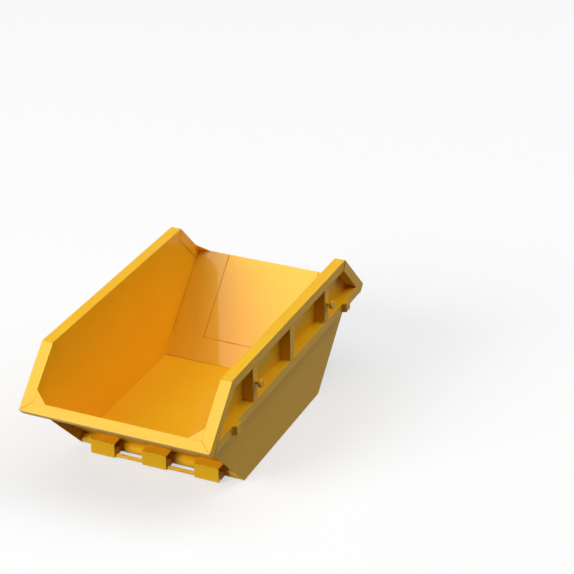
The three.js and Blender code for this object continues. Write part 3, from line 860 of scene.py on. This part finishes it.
class SKIP_OT_lifting_lugs(bpy.types.Operator):
    """Lifting lugs, turned with a round-edged head and a weld at the foot"""

    bl_idname = "skip.lifting_lugs"
    bl_label = "Lifting lugs"

    def execute(self, context):
        welds = weld_mesh()
        for side, sign in SIDES:
            for end, _ in ENDS:
                self.turn_lug(welds, f"{end}_lifting_lug_{side}", Vector((0, sign, 0)))
        keep_welds(welds, "lifting_lug_welds", body_of("bar_end_lifting_lug_left"))
        return {"FINISHED"}

    @staticmethod
    def turn_lug(welds, node, axis):
        """A lug spun round its axis, to the shaft and head of its CAD solid."""
        corners = [v.co for v in NODES[node].data.vertices]
        across = [c.x for c in corners]
        upright = [c.z for c in corners]
        centre = Vector(((min(across) + max(across)) / 2, 0, (min(upright) + max(upright)) / 2))
        measures = [((c - centre - axis * c.dot(axis)).length, c.dot(axis)) for c in corners]
        foot = min(along for _, along in measures)
        face = max(along for _, along in measures)
        shaft = max(radius for radius, along in measures if along < foot + MERGE_DISTANCE)
        head = max(radius for radius, _ in measures)
        back = min(along for radius, along in measures if radius > head - MERGE_DISTANCE)
        bm = bmesh.new()
        profile = [bm.verts.new(centre + Vector((radius, 0, 0)) + axis * along) for radius, along in (
            (0, foot), (shaft, foot), (shaft, back), (head, back), (head, face), (0, face))]
        lines = [bm.edges.new(pair) for pair in zip(profile, profile[1:])]
        spin_round(bm, profile + lines, centre, axis)
        bmesh.ops.remove_doubles(bm, verts=bm.verts, dist=MERGE_DISTANCE)
        bmesh.ops.recalc_face_normals(bm, faces=bm.faces)
        round_off(bm, convex_edges(bm), sizes().lug_round)
        keep_piece(bm, f"{node}_finished", body_of(node), PAINTED_STEEL, node)
        lay_ring_bead(welds, centre + axis * foot, axis, shaft)


class SKIP_OT_underside(bpy.types.Operator):
    """Runners, cross rail, bottom tube, tipping brackets and tipping bar"""

    bl_idname = "skip.underside"
    bl_label = "Underside"

    def execute(self, context):
        radius = sizes().section_radius
        seams = [("door_end_bottom_rail", BARWARD, UP)]
        for side, _ in SIDES:
            runner = f"floor_runner_{side}"
            finish_node(runner, radius)
            seams += [(runner, facing, UP) for facing in CROSSWAYS]
        for place in ("left", "middle", "right"):
            bracket = f"tipping_bracket_{place}"
            finish_node(bracket, radius)
            seams.append((bracket, UP, DOORWARD))
        finish_node("door_end_bottom_rail", radius)
        finish_node("bar_end_bottom_tube", radius, RUBBED_PAINT)
        finish_node("tipping_bar", radius, RUBBED_PAINT)
        weld_seams("underside_welds", seams)
        return {"FINISHED"}


class SKIP_OT_drop_door(bpy.types.Operator):
    """The drop door's panel, frame, hinges and latch arms"""

    bl_idname = "skip.drop_door"
    bl_label = "Drop door"

    def execute(self, context):
        radius = sizes().section_radius
        finish_node("door_panel", sizes().seam_radius, ways=(*CROSSWAYS, DOOR_DOWNWARD),
                    flush=[(DOOR_INWARD, DOOR_UPWARD)])
        finish_node("door_rim", radius, ways=CROSSWAYS, flush=[(DOOR_INWARD, DOOR_DOWNWARD)])
        finish_node("door_bottom_rail", radius)
        seams = [("door_bottom_rail", DOOR_UPWARD, DOOR_INWARD),
                 ("door_bottom_rail", DOOR_DOWNWARD, DOOR_INWARD),
                 ("door_panel", DOOR_OUTWARD, DOOR_UPWARD)]
        for side, sign in SIDES:
            seams.append((f"door_stile_{side}", (0, -sign, 0), DOOR_INWARD))
            finish_node(f"door_stile_{side}", radius)
            finish_node(f"door_hinge_{side}", sizes().sheet_radius)
            finish_node(f"sill_hinge_{side}", sizes().sheet_radius)
            finish_node(f"latch_arm_{side}", radius)
        weld_seams("door_welds", seams)
        return {"FINISHED"}


class SKIP_OT_pins(bpy.types.Operator):
    """The bare steel hinge pin and latch pivots"""

    bl_idname = "skip.pins"
    bl_label = "Pins"

    def execute(self, context):
        for node in ("hinge_pin", "latch_pivot_left", "latch_pivot_right"):
            finish_node(node, sizes().sheet_radius, BARE_STEEL)
        return {"FINISHED"}


class SKIP_OT_studio(bpy.types.Operator):
    """Pale floor, soft lamps, room light and camera"""

    bl_idname = "skip.studio"
    bl_label = "Studio"

    def execute(self, context):
        room = studio()
        self.lay_floor(room)
        self.hang_lamp("overhead", room.key_direction, room.key_size, room.key_radiance)
        side = self.hang_lamp("side", room.side_direction, room.side_size, room.side_radiance)
        # Mirrored in the top rails, this lamp would bleach them
        side.visible_glossy = False
        self.hang_lamp("fill", room.fill_direction, room.fill_size, room.fill_radiance)
        sheen = self.hang_lamp("sheen", room.sheen_direction, room.sheen_size, room.sheen_radiance)
        sheen.visible_diffuse = False
        self.light_room(room)
        self.place_camera(room)
        context.scene.view_settings.view_transform = "Standard"
        return {"FINISHED"}

    @staticmethod
    def seen_directly(tree):
        """1 for rays that show the background: to the camera, off gloss and through glass."""
        rays = tree.nodes.new("ShaderNodeLightPath")
        seen = calculate(tree, "MAXIMUM", rays.outputs["Is Camera Ray"], rays.outputs["Is Glossy Ray"])
        return calculate(tree, "MAXIMUM", seen, rays.outputs["Is Transmission Ray"])

    def lay_floor(self, room):
        """A matt floor, paler where it is seen than in the light that it throws up."""
        material, tree, shader = new_material("floor_paper")
        seen = self.seen_directly(tree)
        tree.links.new(mix_colours(tree, seen, colour(room.floor_bounce), colour(room.floor_colour)),
                       shader.inputs["Base Color"])
        shader.inputs["Roughness"].default_value = 1.0
        shader.inputs["Specular IOR Level"].default_value = 0.0
        blend = tree.nodes.new("ShaderNodeMixShader")
        tree.links.new(calculate(tree, "MULTIPLY", seen, room.floor_glow), blend.inputs["Fac"])
        tree.links.new(shader.outputs["BSDF"], blend.inputs[1])
        tree.links.new(tree.nodes.new("ShaderNodeEmission").outputs["Emission"], blend.inputs[2])
        tree.links.new(blend.outputs["Shader"], tree.nodes["Material Output"].inputs["Surface"])
        bm = bmesh.new()
        bmesh.ops.create_grid(bm, x_segments=1, y_segments=1, size=room.floor_size)
        new_object(bm, "studio_floor", material)

    @staticmethod
    def hang_lamp(name, way, size, radiance):
        """A square soft lamp, as bright as its radiance whatever its size and distance."""
        direction = Vector(way).normalized()
        lamp = bpy.data.lights.new(name, "AREA")
        lamp.shape = "SQUARE"
        lamp.size = size
        lamp.energy = radiance * math.pi * size ** 2
        stand = bpy.data.objects.new(name, lamp)
        stand.matrix_world = (Matrix.Translation(direction * studio().lamp_distance)
                              @ pointing(direction))
        stand.visible_camera = False
        bpy.context.scene.collection.objects.link(stand)
        return stand

    def light_room(self, room):
        """A white room that throws little light."""
        world = bpy.data.worlds.new("studio_room")
        world.use_nodes = True
        tree = world.node_tree
        background = tree.nodes["Background"]
        background.inputs["Color"].default_value = WHITE
        strength = rescale(tree, self.seen_directly(tree), FULL_RANGE, (room.room_light, 1.0))
        tree.links.new(strength, background.inputs["Strength"])
        bpy.context.scene.world = world

    @staticmethod
    def place_camera(room):
        """The camera, at the photograph's viewing angle."""
        back = Vector((math.sin(room.azimuth) * math.cos(room.elevation),
                       -math.cos(room.azimuth) * math.cos(room.elevation), math.sin(room.elevation)))
        turn = pointing(back) @ Matrix.Rotation(room.roll, 4, "Z")
        lens = bpy.data.cameras.new("camera")
        lens.sensor_width = SENSOR_WIDTH
        lens.lens = room.lens
        lens.clip_end = CLIP_END
        camera = bpy.data.objects.new("camera", lens)
        camera.matrix_world = Matrix.Translation(turn @ Vector(room.camera_offset)) @ turn
        bpy.context.scene.collection.objects.link(camera)
        bpy.context.scene.camera = camera


class SKIP_PT_panel(bpy.types.Panel):
    """Lists the skip's sizes, looks and finishing steps"""

    bl_idname = "SKIP_PT_panel"
    bl_label = "Builders Skip"
    bl_space_type = "VIEW_3D"
    bl_region_type = "UI"
    bl_category = "Skip"

    def draw(self, context):
        for group in (sizes(), finish(), studio()):
            box = self.layout.box()
            for name in group.__annotations__:
                box.prop(group, name)
        for step in STEPS:
            self.layout.operator(step.bl_idname)


STEPS = (SKIP_OT_rim_frame, SKIP_OT_tub, SKIP_OT_side_frame, SKIP_OT_lifting_lugs, SKIP_OT_underside,
         SKIP_OT_drop_door, SKIP_OT_pins, SKIP_OT_studio)
CLASSES = (SkipSizes, SkipFinish, SkipStudio, *STEPS, SKIP_PT_panel)


def register():
    for made in CLASSES:
        bpy.utils.register_class(made)
    bpy.types.Scene.skip_sizes = PointerProperty(type=SkipSizes)
    bpy.types.Scene.skip_finish = PointerProperty(type=SkipFinish)
    bpy.types.Scene.skip_studio = PointerProperty(type=SkipStudio)


def unregister():
    del bpy.types.Scene.skip_studio
    del bpy.types.Scene.skip_finish
    del bpy.types.Scene.skip_sizes
    for made in reversed(CLASSES):
        bpy.utils.unregister_class(made)


def main():
    """Runs every step in order."""
    register()
    bpy.ops.skip.rim_frame()
    bpy.ops.skip.tub()
    bpy.ops.skip.side_frame()
    bpy.ops.skip.lifting_lugs()
    bpy.ops.skip.underside()
    bpy.ops.skip.drop_door()
    bpy.ops.skip.pins()
    bpy.ops.skip.studio()


if __name__ == "__main__":
    main()
